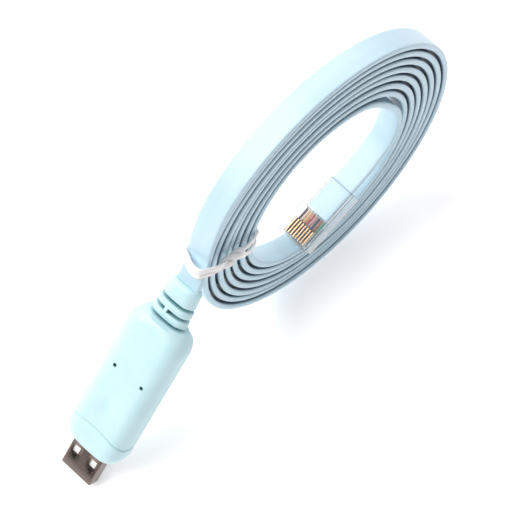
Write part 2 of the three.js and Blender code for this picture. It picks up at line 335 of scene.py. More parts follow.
def drill(piece: bpy.types.Object, cutter: bpy.types.Object) -> None:
    """Cuts one closed mesh out of another and removes the cutter.

    Args:
        piece: The piece to cut.
        cutter: The shape to take away.
    """
    tool = piece.modifiers.new("cut", "BOOLEAN")
    tool.operation = "DIFFERENCE"
    tool.solver = "EXACT"
    tool.object = cutter
    bpy.context.view_layer.update()
    apply_modifiers(piece)
    bpy.data.objects.remove(cutter)


def soft_edges(
    piece: bpy.types.Object, width_mm: float, segments: int, degrees: float, clamp: bool = True
) -> None:
    """Rounds a piece's sharp edges by a bevel of one width.

    Args:
        piece: The piece.
        width_mm: The bevel's width in millimetres.
        segments: Steps round each edge.
        degrees: Edges sharper than this are rounded.
        clamp: Whether short edges may narrow the bevel.
    """
    bevel = piece.modifiers.new("edges", "BEVEL")
    bevel.width = width_mm * MM
    bevel.segments = segments
    bevel.limit_method = "ANGLE"
    bevel.angle_limit = math.radians(degrees)
    bevel.harden_normals = False
    bevel.use_clamp_overlap = clamp


# Finishes.

# The part of a noise's range that holds nearly all of its values.
NOISE_SPAN = (0.3, 0.7)


def linear(colour: str) -> tuple[float, float, float, float]:
    """Turns an sRGB hex colour into linear red, green and blue, with alpha 1.

    Args:
        colour: A colour such as "#d2f1f5".

    Returns:
        The four channels.
    """
    channels = [int(colour[i : i + 2], 16) / 255 for i in (1, 3, 5)]
    red, green, blue = (c / 12.92 if c <= 0.04045 else ((c + 0.055) / 1.055) ** 2.4 for c in channels)
    return red, green, blue, 1.0


def add_node(
    tree: bpy.types.NodeTree, kind: str, settings: dict[str, Any], links: dict[str, Any]
) -> bpy.types.Node:
    """Adds a node to a tree.

    Args:
        tree: The node tree.
        kind: The node's type name.
        settings: Values by attribute name, or by socket name.
        links: For each input socket's name, the output socket that feeds it.

    Returns:
        The node.
    """
    made = tree.nodes.new(kind)
    for key, value in settings.items():
        if hasattr(made, key):
            setattr(made, key, value)
        else:
            made.inputs[key].default_value = value
    for key, source in links.items():
        tree.links.new(source, made.inputs[key])
    return made


class Paint:
    """A material under construction: its node tree and its principled shader."""

    def __init__(self, name: str) -> None:
        """Starts an empty material with a principled shader.

        Args:
            name: The material's name.
        """
        self.material = bpy.data.materials.new(name)
        self.material.use_nodes = True
        self.tree = self.material.node_tree
        self.shader = self.tree.nodes["Principled BSDF"]

    def node(self, kind: str, settings: dict[str, Any], links: dict[str, Any]) -> bpy.types.Node:
        """Adds a node to the material's tree, as add_node does."""
        return add_node(self.tree, kind, settings, links)

    def set(self, **sockets: Any) -> None:
        """Sets the shader's own sockets; an underscore in a name stands for a space."""
        for key, value in sockets.items():
            self.shader.inputs[key.replace("_", " ")].default_value = value

    def feed(self, socket: str, source: bpy.types.NodeSocket) -> None:
        """Links a node's output to one of the shader's sockets."""
        self.tree.links.new(source, self.shader.inputs[socket])

    def space(
        self, kind: str = "Object", turn: Triple = (0, 0, 0), scale: Triple = (1, 1, 1)
    ) -> bpy.types.NodeSocket:
        """Coordinates for a pattern, stretched and then turned.

        Args:
            kind: "Object" or "UV".
            turn: The turn in radians about X, Y and Z.
            scale: The stretch along each axis.

        Returns:
            The vector socket.
        """
        source = self.node("ShaderNodeTexCoord", {}, {}).outputs[kind]
        return self.node(
            "ShaderNodeMapping", {"Rotation": turn, "Scale": scale}, {"Vector": source}
        ).outputs["Vector"]

    def vary(
        self, noise: bpy.types.NodeSocket, shade: str, colour: str, gloss: tuple[float, float]
    ) -> bpy.types.NodeSocket:
        """Lets a noise move the roughness between two values and the colour between two hexes.

        Args:
            noise: The noise's value.
            shade: The colour where the noise is low.
            colour: The colour where it is high.
            gloss: The roughness where it is low and where it is high.

        Returns:
            The moving colour.
        """
        low, high = NOISE_SPAN
        blend = self.node("ShaderNodeValToRGB", {}, {"Fac": noise})
        first, second = blend.color_ramp.elements
        first.position, first.color = low, linear(shade)
        second.position, second.color = high, linear(colour)
        roughness = self.node(
            "ShaderNodeMapRange",
            {"From Min": low, "From Max": high, "To Min": gloss[0], "To Max": gloss[1]},
            {"Value": noise},
        )
        self.feed("Roughness", roughness.outputs["Result"])
        return blend.outputs["Color"]


@dataclass(frozen=True)
class MouldedPlastic:
    """Soft PVC or a like plastic as it comes out of a mould or an extruder.

    A slow noise moves the colour a little between two hexes and the gloss between two values, and
    a fine noise gives the mould's grain as bump.

    Attributes:
        name: The material's name.
        colour: The colour where the slow noise is high.
        shade: The colour where it is low.
        gloss: The roughness where it is low and where it is high.
        grain_mm: The grain's size.
        grain_depth_mm: The grain's depth.
        cloud_mm: The slow noise's size.
        stretch: The patterns' scale along each axis, where less than 1 draws them out.
        coordinates: "Object", or "UV" for a pattern that follows a tube.
        crevice_shade: The colour of the painted shade that narrow gaps darken to, if they have any.
        crevice_shade_mm: How near a facing wall is in a gap that gets painted shade.
        shut: How open a gap is where it is darkest, and where it looks as the open surface does.
    """

    name: str
    colour: str
    shade: str
    gloss: tuple[float, float] = (0.36, 0.46)
    grain_mm: float = 0.35
    grain_depth_mm: float = 0.006
    cloud_mm: float = 9.0
    stretch: Triple = (1, 1, 1)
    coordinates: str = "Object"
    crevice_shade: str | None = None
    crevice_shade_mm: float = 1.6
    shut: tuple[float, float] = (0.2, 0.8)

    def material(self) -> bpy.types.Material:
        """Builds the material; where a crevice shade is given, narrow gaps get painted shade.

        Returns:
            The material.
        """
        paint = Paint(self.name)
        unit_mm = 1 / MM if self.coordinates == "Object" else 1.0
        where = paint.space(self.coordinates, scale=self.stretch)
        cloud = paint.node(
            "ShaderNodeTexNoise",
            {"Scale": unit_mm / self.cloud_mm, "Detail": 3.0, "Roughness": 0.5},
            {"Vector": where},
        ).outputs["Fac"]
        surface = paint.vary(cloud, self.shade, self.colour, self.gloss)
        if self.crevice_shade:
            surface = self.paint_gap_shade(paint, surface)
        paint.feed("Base Color", surface)
        grain = paint.node(
            "ShaderNodeTexNoise",
            {"Scale": unit_mm / self.grain_mm, "Detail": 2.0},
            {"Vector": where},
        ).outputs["Fac"]
        bump = paint.node(
            "ShaderNodeBump",
            {"Strength": 1.0, "Distance": self.grain_depth_mm * MM},
            {"Height": grain},
        ).outputs["Normal"]
        paint.feed("Normal", bump)
        paint.set(IOR=1.53)
        return paint.material

    def paint_gap_shade(self, paint: Paint, surface: bpy.types.NodeSocket) -> bpy.types.NodeSocket:
        """Paints shade into narrow gaps, where little light gets in.

        Args:
            paint: The material under construction.
            surface: The open surface's colour.

        Returns:
            The colour with painted shade in its gaps.
        """
        # Painted shade: ambient occlusion darkens the colour in narrow gaps.
        shut = paint.node(
            "ShaderNodeAmbientOcclusion",
            {"samples": 8, "only_local": True, "Distance": self.crevice_shade_mm * MM},
            {},
        ).outputs["AO"]
        share = paint.node(
            "ShaderNodeMapRange", {"From Min": self.shut[0], "From Max": self.shut[1]}, {"Value": shut}
        ).outputs["Result"]
        blend = paint.node(
            "ShaderNodeMixRGB", {"Color1": linear(self.crevice_shade)}, {"Fac": share, "Color2": surface}
        )
        return blend.outputs["Color"]


@dataclass(frozen=True)
class PlatedMetal:
    """Sheet or strip metal with a thin plating and fine drawn-out marks along X.

    Attributes:
        name: The material's name.
        colour: The colour where the marks' noise is high.
        shade: The colour where it is low.
        gloss: The roughness where it is low and where it is high.
        line_mm: A mark's width, coarser than a real rolling line so that it shows.
        line_length_mm: A mark's length.
        depth_mm: A mark's depth.
        turn: The turn of the noise once it is drawn out, about X, Y and Z.
    """

    name: str
    colour: str
    shade: str
    gloss: tuple[float, float]
    line_mm: float = 0.12
    line_length_mm: float = 4.0
    depth_mm: float = 0.002
    turn: Triple = (0, 0, 0)

    def material(self) -> bpy.types.Material:
        """Builds the material: long thin noise gives the marks in colour, gloss and bump.

        Returns:
            The material.
        """
        paint = Paint(self.name)
        squeeze = self.line_mm / self.line_length_mm
        where = paint.space("Object", turn=self.turn, scale=(squeeze, 1, 1))
        lines = paint.node(
            "ShaderNodeTexNoise", {"Scale": 1 / (self.line_mm * MM), "Detail": 3.0}, {"Vector": where}
        ).outputs["Fac"]
        paint.feed("Base Color", paint.vary(lines, self.shade, self.colour, self.gloss))
        bump = paint.node(
            "ShaderNodeBump",
            {"Strength": 1.0, "Distance": self.depth_mm * MM},
            {"Height": lines},
        ).outputs["Normal"]
        paint.feed("Normal", bump)
        paint.set(Metallic=1.0)
        return paint.material


@dataclass(frozen=True)
class ClearPlastic:
    """Moulded polycarbonate: seen through face on, and denser where a wall is seen edge on.

    Attributes:
        name: The material's name.
        colour: The colour of what shows of the wall.
        face_alpha: How much of the wall shows face on.
        edge_alpha: How much of it shows edge on.
        weight: How early the facing weight rises.
        facing: The facing weights at which the wall shows least and most.
        ripple_mm: The size of the slow ripple that the mould leaves.
        ripple_depth_mm: The ripple's depth.
        roughness: The polish.
    """

    name: str
    colour: str = "#eef3f5"
    face_alpha: float = 0.06
    edge_alpha: float = 0.8
    weight: float = 0.35
    facing: tuple[float, float] = (0.15, 0.95)
    ripple_mm: float = 1.4
    ripple_depth_mm: float = 0.01
    roughness: float = 0.08

    def material(self) -> bpy.types.Material:
        """Builds the material: the facing weight drives how much of the wall shows.

        Returns:
            The material.
        """
        paint = Paint(self.name)
        where = paint.space("Object")
        facing = paint.node("ShaderNodeLayerWeight", {"Blend": self.weight}, {}).outputs["Facing"]
        least, most = self.facing
        alpha = paint.node(
            "ShaderNodeMapRange",
            {"From Min": least, "From Max": most, "To Min": self.face_alpha, "To Max": self.edge_alpha},
            {"Value": facing},
        ).outputs["Result"]
        paint.feed("Alpha", alpha)
        ripple = paint.node(
            "ShaderNodeTexNoise", {"Scale": 1 / (self.ripple_mm * MM), "Detail": 1.0}, {"Vector": where}
        ).outputs["Fac"]
        bump = paint.node(
            "ShaderNodeBump",
            {"Strength": 1.0, "Distance": self.ripple_depth_mm * MM},
            {"Height": ripple},
        ).outputs["Normal"]
        paint.feed("Normal", bump)
        paint.set(Base_Color=linear(self.colour), Roughness=self.roughness, IOR=1.58)
        return paint.material


class Finish(Enum):
    """The finishes that the cable's pieces wear."""

    # PVC sheath, extruded: cool pale blue with faint streaks along it and a soft satin shine.
    CORD = MouldedPlastic(
        "extruded_pvc_cord", "#cbe6f2", "#c0deec", gloss=(0.34, 0.42), coordinates="UV",
        stretch=(1, 0.12, 1), grain_mm=0.5, grain_depth_mm=0.008, cloud_mm=6,
        # Painted shade: the gaps between the turns darken towards dark navy.
        crevice_shade="#34506b", crevice_shade_mm=2.4,
    )
    # Soft PVC, injection moulded: a slightly greener pale blue, even, with a fine matt grain.
    MOULDING = MouldedPlastic(
        # Painted shade: slots, seams and pin holes darken towards dark teal.
        "soft_pvc_moulding", "#cdeff4", "#c6eaf1", crevice_shade="#4b828c", crevice_shade_mm=1.9
    )
    # Nylon, moulded: plain soft white behind the shell's windows and in its mouth.
    INSULATOR = MouldedPlastic("white_nylon", "#fbfbf9", "#f1f1ee", gloss=(0.4, 0.5))
    # Paper over wire, twisted: matt white with a fibrous roughness and hardly a highlight.
    TIE = MouldedPlastic(
        "white_paper_tie", "#ffffff", "#f8f7f4", gloss=(0.6, 0.75), grain_mm=0.25,
        grain_depth_mm=0.02, cloud_mm=2,
    )
    # Bronze strip with a flash of gold: a warm coppery gleam, uneven along its marks.
    GOLD = PlatedMetal("gold_flash_strip", "#cfae8a", "#94684f", gloss=(0.26, 0.38))
    # Nickel-plated sheet steel, bent: a warm dark grey mirror, dulled a little by its marks.
    STEEL = PlatedMetal(
        "nickel_plated_steel", "#8a7e78", "#776b66", gloss=(0.2, 0.3), turn=USB_SEAT.back_turn()
    )
    # Polycarbonate, moulded: almost nothing face on, and a pale veil where a wall turns away.
    CLEAR = ClearPlastic("clear_polycarbonate")
    # The same plastic at its rounded edges, with painted grey shade where they bend the light and show
    # as grey outlines.
    CLEAR_EDGE_SHADE = ClearPlastic(
        "clear_polycarbonate_edge_shade", colour="#6f7a80", face_alpha=0.6, edge_alpha=0.9
    )


# The cores' insulation across the plug: brown, tan, yellow, red, rose, black, orange and green.
CORE_COLOURS = (
    "#4e2a24", "#d9b48a", "#e0a35c", "#b23a2a", "#c98b80", "#26242a", "#a8512c", "#1f8a63",
)


def ride(piece: bpy.types.Object, slot: str, *nodes: str) -> bpy.types.Object:
    """Puts a piece on the cable's body, in the place of solids.

    Args:
        piece: The piece.
        slot: The record's material slot; not used.
        nodes: The solids that it stands for.

    Returns:
        The piece.
    """
    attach(piece, BODY)
    if nodes:
        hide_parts(*nodes)
    return piece


def wear(piece: bpy.types.Object, material: bpy.types.Material) -> None:
    """Gives a piece one material."""
    piece.data.materials.clear()
    piece.data.materials.append(material)


# The cord.


@dataclass
class FlatCord:
    """The flat eight-core cord: out of the relief, round the coil and into the modular plug.

    Sizes are in millimetres and angles in degrees above +X, seen from the -Y side.
    """

    stand: Stand
    width: float = 8.1
    thickness: float = 2.0
    edge: float = 0.7
    # The winding's outer radius at start_angle, and how much the radius falls in each turn.
    outer_radius: float = 51.87
    pitch: float = 2.84
    start_angle: float = 38.0
    # The winding's points.
    first_angle: float = 45.0
    last_angle: float = 2640.0
    angle_step: float = 6.0
    # Each slow sideways wave's height, its rate for each radian, and its phase.
    waves: tuple[Triple, ...] = ((0.16, 0.37, 0.4), (0.1, 1.31, 2.0))
    # How far aside the winding starts, and how fast that fades with the turns.
    first_shift: tuple[float, float] = (0.35, 6.0)
    # Over how many last degrees the line drifts to the modular plug's side, and how far.
    last_shift: tuple[float, float] = (300.0, 0.7)
    # The path's step, and how far behind the USB plug's mouth it starts, inside the relief.
    spacing: float = 3.0
    start_back: float = 74.5
    # Where along the path the width starts to turn to the coil's axis, and over what length.
    turn_from: float = 4.0
    turn_over: float = 30.0
    usb_exit: Triple = (53.63, 3.25, 60.06)
    usb_route: tuple[Triple, ...] = (
        (51.0, 2.9, 63.1), (48.6, 2.2, 67.2), (46.3, 1.5, 71.3),
        (43.9, 0.9, 75.4), (41.5, 0.6, 79.1), (38.8, 0.4, 82.6),
    )
    rj_route: tuple[Triple, ...] = (
        (-24.2, 0.9, 66.2), (-27.3, 1.1, 61.0), (-28.8, 1.2, 55.5), (-28.5, 1.4, 50.0),
        (-26.5, 1.7, 45.5), (-22.6, 1.9, 41.8), (-18.3, 2.1, 39.2), (-13.5, 2.2, 36.8),
        (-8.9, 2.2, 34.74), (-3.6, 2.2, 32.38), (1.5, 2.2, 30.11),
    )

    def winding(self) -> Array:
        """Points of the coil's centreline.

        The radius falls by one pitch a turn, and the turns wander sideways by two slow waves, as
        those of a hand-wound coil do. The winding starts a little aside, and its end drifts to the
        modular plug's side.

        Returns:
            Points (n, 3).
        """
        degrees = np.arange(self.first_angle, self.last_angle, self.angle_step)
        angle = np.radians(degrees)
        turned = (degrees - self.start_angle) / 360
        radius = self.outer_radius - self.thickness / 2 - self.pitch * turned
        wander = sum(height * np.sin(rate * angle + phase) for height, rate, phase in self.waves)
        span, reach = self.last_shift
        drift = np.interp(degrees, [self.last_angle - span, self.last_angle], [0.0, reach])
        shift, fade = self.first_shift
        y = wander + drift + shift * np.exp(-turned * fade)
        return np.stack([radius * np.cos(angle), y, CENTRE_HEIGHT + radius * np.sin(angle)], axis=1)

    def centreline(self) -> Array:
        """The whole cord's line, from inside the relief to inside the modular plug.

        Returns:
            Points (n, 3).
        """
        inside = USB_SEAT.carry([[-self.start_back, 0.0, 0.0]])
        points = [inside, [self.usb_exit], self.usb_route, self.winding(), self.rj_route]
        return smooth_path(np.concatenate([np.asarray(p, float) for p in points]), self.spacing)

    def across(self, line: Array) -> Array:
        """The width's direction: the relief's own at first, and then the coil's axis.

        The share of the axis rises as 3 s^2 - 2 s^3.

        Args:
            line: The cord's line, (n, 3).

        Returns:
            Directions (n, 3).
        """
        start = USB_SEAT.turn[:, 1]
        run = np.arange(len(line)) * self.spacing
        share = np.clip((run - self.turn_from) / self.turn_over, 0, 1)[:, None]
        share = share * share * (3 - 2 * share)
        return unit((1 - share) * start + share * np.array([0.0, 1.0, 0.0]))

    def build(self, plug_pieces: list[bpy.types.Object]) -> bpy.types.Object:
        """Args:
            plug_pieces: The modular plug's pieces, which are on the cord's far end; not used.

        Returns:
            The cord.
        """
        line = self.centreline()
        section = round_section(
            self.width / 2, self.thickness / 2, self.edge, arc=5, wide=6, tall=2
        )[0]
        rings = self.stand.metres(sweep(line, self.across(line), section))
        cord = ring_mesh("flat_cord", rings, smooth=60)
        unwrap_tube(cord, rings)
        ride(cord, "cord_pvc", "cable_coil", "cable_usb_lead", "cable_rj45_lead")
        wear(cord, Finish.CORD.value.material())
        path = self.stand.metres(line)
        self.stand.metres(np.array(self.usb_exit)).tolist()
        return cord


# The USB plug.


@dataclass
class UsbMoulding:
    """The USB plug's soft moulding with its strain relief, in one piece.

    Sizes are in millimetres in the plug's own frame, and places along it are distances back from
    the mouth of the shell.
    """

    stand: Stand
    # The body, the radius of its long edges, and half of the least flat between two of them.
    half_width: float = 10.4
    half_height: float = 6.0
    edge: float = 4.9
    flat: float = 0.9
    # The front; the nose's length and narrowing each way; its edge's radius and its bow.
    front: float = 12.0
    nose: Triple = (4.2, 4.2, 3.3)
    nose_edge: float = 1.3
    nose_bow: float = 1.3
    # The shell's pocket, and for each of its rows the depth, the widening and the corners' radius.
    pocket: tuple[float, float] = (6.05, 2.3)
    pocket_rows: tuple[Triple, ...] = (
        (2.4, 0.0, 0.62), (0.3, 0.0, 0.62), (0.06, 0.06, 0.7), (0.0, 0.22, 0.8),
    )
    # The seam's place, bow, depth and width, and half the length that its rows take up.
    seam: float = 19.3
    seam_bow: float = 1.7
    seam_depth: float = 0.5
    seam_width: float = 0.3
    seam_span: float = 0.6
    # The hollow's place back and aside, its length and width, and its depth.
    hollow_place: tuple[float, float] = (29.0, -0.2)
    hollow_size: tuple[float, float] = (4.5, 2.2)
    hollow_depth: float = 0.35
    # Where the shoulders' circle starts and its radius, where the rear edge's starts, and its end.
    shoulder_from: float = 57.0
    shoulder: float = 8.0
    rear_edge: float = 60.8
    rear: float = 65.0
    # The relief's half width at its root and at its tip, its half height and its edges' radius.
    relief: Triple = (6.2, 5.1, 3.3)
    relief_edge: float = 2.9
    # The tip, the rounding of its rim, and each row of the cord's mouth: depth in the tip, half
    # width, half height and corner radius.
    tip: float = 76.8
    rim: float = 1.4
    mouth: tuple[tuple[float, float, float, float], ...] = (
        (0.03, 4.2, 1.36, 1.2), (2.2, 4.12, 1.26, 1.2),
    )
    # The slots between the ribs, and the small round of the ribs' edges.
    slots: Triple = (63.1, 66.5, 69.9)
    slot_width: float = 1.4
    slot_depth: float = 2.1
    lip: float = 0.12
    # The share of the relief's height that is lost at its sides.
    dome: float = 0.3
    # The web across the middle slot: its middle, and half its width.
    web: tuple[float, float] = (-0.9, 0.7)
    # The pin holes: their place back and half their spacing, then their middle, radius and depth.
    pin_place: tuple[float, float] = (43.1, 5.25)
    pin_middle: float = 0.5
    pin_radius: float = 0.62
    pin_depth: float = 3.4

    def rows(self) -> tuple[Array, Array, Array, Array]:
        """The moulding's profile from the shell's pocket to inside the relief's tip.

        The nose is a quarter ellipse, the body is straight, the shoulders are a circle in plan
        and the rear edge one in height, and the relief tapers evenly.

        Returns:
            Distance back, half width, half height and corner radius of each row.
        """
        half_width, half_height = self.pocket
        inner = np.array(
            [
                (self.front + depth, half_width + wider, half_height + wider, radius)
                for depth, wider, radius in self.pocket_rows
            ]
        )
        deep, wide, tall = self.nose
        turn = np.radians(np.linspace(0, 90, 15))
        nose = np.stack(
            [
                self.front + deep * (1 - np.cos(turn)),
                self.half_width - wide * (1 - np.sin(turn)),
                self.half_height - tall * (1 - np.sin(turn)),
                self.nose_edge + (self.edge - self.nose_edge) * np.sin(turn),
            ],
            axis=1,
        )
        seam = self.seam + np.linspace(-self.seam_span, self.seam_span, 13)
        # Where two stretches meet, their rows keep a small step to each other.
        last = math.asin((self.slots[0] - 0.25 - self.shoulder_from) / self.shoulder)
        back = np.concatenate(
            [
                np.linspace(self.front + deep + 0.3, seam[0] - 0.2, 8),
                seam,
                np.linspace(seam[-1] + 0.25, self.shoulder_from, 62),
                self.shoulder_from + self.shoulder * np.sin(np.linspace(0.08, last, 18)),
                np.linspace(self.slots[0] - 0.1, self.slots[0] - 0.02, 2),
            ]
        )
        body = np.stack([back, *self.body_sizes(back), np.full_like(back, self.edge)], axis=1)
        body[:, 3] = np.minimum(body[:, 3], body[:, 2] - self.flat)
        return tuple(np.concatenate([inner, nose, body, self.relief_rows()]).T)

    def body_sizes(self, back: Array) -> tuple[Array, Array]:
        """Half width and half height of the body, with the relief's root growing out of it.

        Each is (body^14 + relief^14)^(1/14), which follows the larger of the two, with a small
        round where they cross.

        Args:
            back: Each row's distance back.

        Returns:
            Half widths and half heights.
        """
        in_plan = np.clip((back - self.shoulder_from) / self.shoulder, 0, 1)
        reach = self.rear - self.rear_edge
        in_side = np.clip((back - self.rear_edge) / reach, 0, 1)
        wide = self.half_width - self.shoulder * (1 - np.sqrt(1 - in_plan**2))
        tall = self.half_height - reach * (1 - np.sqrt(1 - in_side**2))
        power = 14
        most = 4
        root = np.minimum(self.relief_half_width(back), wide + most)
        wide = (wide**power + root**power) ** (1 / power)
        tall = (tall**power + self.relief[2] ** power) ** (1 / power)
        straight = back < self.shoulder_from
        return np.where(straight, self.half_width, wide), np.where(straight, self.half_height, tall)

    def relief_half_width(self, back: Array) -> Array:
        """Half width of the relief: an even taper from its root to its tip."""
        root, tip, _ = self.relief
        return np.interp(back, [self.rear, self.tip], [root, tip])

    def relief_rows(self) -> Array:
        """Rows of the relief: ribs and slots in turn, the collar, its rim, and the cord's mouth.

        Returns:
            Distance back, half width, half height and corner radius of each row.
        """
        rows = []
        lip, deep = self.lip, self.slot_depth
        step, wall = 0.06, 0.1
        for index, place in enumerate(self.slots):
            end = place + self.slot_width
            rows += [(place, lip), (place + step, lip + wall), (place + wall, deep)]
            rows += [(end - wall, deep), (end - step, lip + wall), (end, lip), (end + lip, 0)]
            if index + 1 < len(self.slots):
                rows.append((self.slots[index + 1] - lip, 0))
            else:
                rows.append((self.tip - self.rim, 0))
        turn = np.radians(np.linspace(10, 90, 8))
        rows += [(self.tip - self.rim * (1 - math.sin(a)), self.rim * (1 - math.cos(a))) for a in turn]
        place, inset = np.array(rows).T
        wide = self.relief_half_width(place) - inset
        tall = self.relief[2] - inset
        outer = np.stack([place, wide, tall, np.maximum(self.relief_edge - inset, 0.5)], axis=1)
        mouth = [(self.tip - depth, *sizes) for depth, *sizes in self.mouth]
        return np.concatenate([outer, mouth])

    def surface(self) -> Array:
        """The moulding's surface in the plug's frame.

        The nose bows towards the mouth and the seam's rows bow away from it, both by a parabola
        across the width. The seam is a notch pressed square to the surface, and a shallow oval
        hollow lies in the upper face behind it; both have the bell curve exp(-x^2) as their
        section. The relief's height falls by a parabola from its middle to its sides.

        Returns:
            Points (rows, n, 3).
        """
        back, wide, tall, radius = self.rows()
        section = round_section(wide, tall, radius, arc=9, wide=34, tall=5)
        y, z = section[..., 0], section[..., 1]
        crown = 1 - np.clip(np.abs(y) / self.half_width, 0, 1) ** 2
        bow = np.interp(
            back,
            [self.front, self.front + 3.5, self.seam - 1, self.seam + 1, self.seam + 9],
            [-self.nose_bow, -0.4, self.seam_bow, self.seam_bow, 0.0],
        )[:, None]
        x = -(back[:, None] + bow * crown)
        points = np.stack([x, y, z], axis=-1)
        outward = self.outward(wide, tall, y, z)
        depth = self.seam_depth * np.exp(-(((back - self.seam) / self.seam_width) ** 2))
        points[..., 1:] -= depth[:, None, None] * outward
        place, aside = self.hollow_place
        length, width = self.hollow_size
        hollow = np.exp(-(((back[:, None] - place) / length) ** 2) - ((y - aside) / width) ** 2)
        points[..., 2] -= np.where(z > 0, self.hollow_depth * hollow, 0.0)
        points = self.keep_web(points, back)
        tail = np.clip((back - self.rear_edge) / (self.slots[0] - self.rear_edge), 0, 1)[:, None]
        # The rim's last two rows and the cord's mouth stay level across the width.
        level = 2 + len(self.mouth)
        tail[-level:] = 0.0
        points[..., 2] *= 1 - self.dome * tail * (points[..., 1] / self.relief[0]) ** 2
        return points

    @staticmethod
    def outward(wide: Array, tall: Array, y: Array, z: Array) -> Array:
        """The direction out of the section, from how near a point is to each side.

        Args:
            wide: Half the width of each row, (n,).
            tall: Half the height of each row, (n,).
            y: The points' places across, (n, m).
            z: The points' heights, (n, m).

        Returns:
            Directions (n, m, 2), of length one or nearly.
        """
        power = 8
        least = 1e-9
        beside = np.sign(y) * (np.abs(y) / wide[:, None]) ** power
        above = np.sign(z) * (np.abs(z) / tall[:, None]) ** power
        near = np.stack([beside, above], axis=-1)
        return near / (np.linalg.norm(near, axis=-1, keepdims=True) + least)

    def keep_web(self, points: Array, back: Array) -> Array:
        """Lifts the floor of the middle slot to the rib's height over the web.

        Args:
            points: The surface, (n, m, 3).
            back: Each row's distance back.

        Returns:
            The surface with its web.
        """
        near = 0.01
        side = 0.8
        middle = (back >= self.slots[1] - near) & (back <= self.slots[1] + self.slot_width + near)
        place, half = self.web
        over = np.abs(points[..., 1] - place) < half
        lift = np.sign(points[..., 2]) * self.relief[2]
        webbed = middle[:, None] & over & (np.abs(points[..., 2]) > side)
        points[..., 2] = np.where(webbed, lift, points[..., 2])
        return points

    def build(self) -> bpy.types.Object:
        """Makes the moulding, drills its two pin holes and dresses it.

        Returns:
            The moulding.
        """
        rings = self.stand.metres(USB_SEAT.carry(self.surface()))
        moulding = ring_mesh("usb_moulding", rings, smooth=50)
        for side in (-1, 1):
            drill(moulding, self.pin(side))
        moulding.data.set_sharp_from_angle(angle=math.radians(50))
        ride(moulding, "moulding_pvc", "usb_housing")
        wear(moulding, Finish.MOULDING.value.material())
        log.info("moulding with %d faces", len(moulding.data.polygons))
        return moulding

    def pin(self, side: int) -> bpy.types.Object:
        """A round cutter for one pin hole: a cylinder with a narrowed end.

        Args:
            side: -1 or 1, for the hole on the -Y or the +Y side.

        Returns:
            The cutter.
        """
        place, spread = self.pin_place
        narrowing, clear = 0.3, 2
        angle = np.linspace(0, 2 * np.pi, 24, endpoint=False)
        height = self.half_height + np.array([-self.pin_depth, narrowing - self.pin_depth, clear])
        radius = self.pin_radius * np.array([0.6, 1.0, 1.0])
        circle = np.stack([np.cos(angle), np.sin(angle)], axis=-1)
        flat = radius[:, None, None] * circle + np.array([-place, self.pin_middle + side * spread])
        up = np.broadcast_to(height[:, None, None], flat.shape[:2] + (1,))
        rings = np.concatenate([flat, up], axis=-1)
        return ring_mesh("pin_cutter", self.stand.metres(USB_SEAT.carry(rings)))


@dataclass
class UsbShell:
    """The USB plug's shell: bent sheet with two windows through each broad side.

    Sizes are in millimetres in the plug's own frame.
    """

    stand: Stand
    half_width: float = 6.0
    half_height: float = 2.25
    corner: float = 0.55
    wall: float = 0.3
    length: float = 17.0
    # The rolled lip of the mouth: each row's distance back, and how much smaller it is.
    lip: tuple[tuple[float, float], ...] = ((0.0, 0.1), (0.12, 0.02), (0.3, 0.0))
    window_from: float = 6.05
    window_to: float = 8.55
    window_side: tuple[float, float] = (2.25, 4.55)
    # Rows before, along and behind the windows, and points between them, that divide long faces.
    rows: Triple = (3.0, 7.3, 12.0)
    stop: float = 0.9

    def section(self) -> Array:
        """The shell's outline, with points at the windows' sides.

        Each corner is a quarter circle, and the lower half is the upper one turned half round.

        Returns:
            Points (n, 2), counter-clockwise from the +Y side.
        """
        inner, outer = self.window_side
        stops = np.array([outer, (inner + outer) / 2, inner, self.stop])
        stops = np.concatenate([stops, -stops[::-1]])
        top = np.stack([stops, np.full(len(stops), self.half_height)], axis=1)
        arc = np.radians(np.linspace(0, 90, 6))
        centre = np.array([self.half_width - self.corner, self.half_height - self.corner])
        first = centre + self.corner * np.stack([np.cos(arc), np.sin(arc)], axis=1)
        second = (first * [-1, 1])[::-1]
        half = np.concatenate([first, top, second])
        return np.concatenate([half, -half])

    def build(self) -> bpy.types.Object:
        """Makes the shell: rows along the plug, faces left out at the windows, then its wall.

        Returns:
            The shell.
        """
        outline = self.section()
        across = outline[:, 0]
        before, along_windows, behind = self.rows
        plain = [before, self.window_from, along_windows, self.window_to, behind, self.length]
        lip_back, lip_inset = np.array(self.lip).T
        back = np.concatenate([lip_back, plain])
        inset = np.concatenate([lip_inset, np.zeros(len(plain))])
        near = 1e-6
        shrink = 1 - inset[:, None, None] / np.abs(outline).max(axis=0)
        flat = outline[None] * shrink
        x = np.broadcast_to(-back[:, None, None], flat.shape[:2] + (1,))
        rings = np.concatenate([x, flat], axis=-1)
        middle = (across + np.roll(across, -1)) / 2
        broad = np.abs(outline[:, 1] + np.roll(outline[:, 1], -1)) / 2 > self.half_height - near
        inner, outer = self.window_side
        over = broad & (np.abs(middle) > inner) & (np.abs(middle) < outer)
        along = (back[:-1] >= self.window_from - near) & (back[1:] <= self.window_to + near)
        keep = ~(along[:, None] & over[None])
        shell = ring_mesh(
            "usb_plug_shell", self.stand.metres(USB_SEAT.carry(rings)), 35, keep, closed_ends=False
        )
        wall = shell.modifiers.new("wall", "SOLIDIFY")
        wall.thickness = self.wall * MM
        wall.offset = -1
        wall.use_even_offset = True
        apply_modifiers(shell)
        soft_edges(shell, width_mm=0.05, segments=2, degrees=50)
        apply_modifiers(shell)
        shell.data.shade_smooth()
        shell.data.set_sharp_from_angle(angle=math.radians(35))
        ride(shell, "shell_steel", "usb_shell")
        wear(shell, Finish.STEEL.value.material())
        log.info("shell with %d faces", len(shell.data.polygons))
        return shell


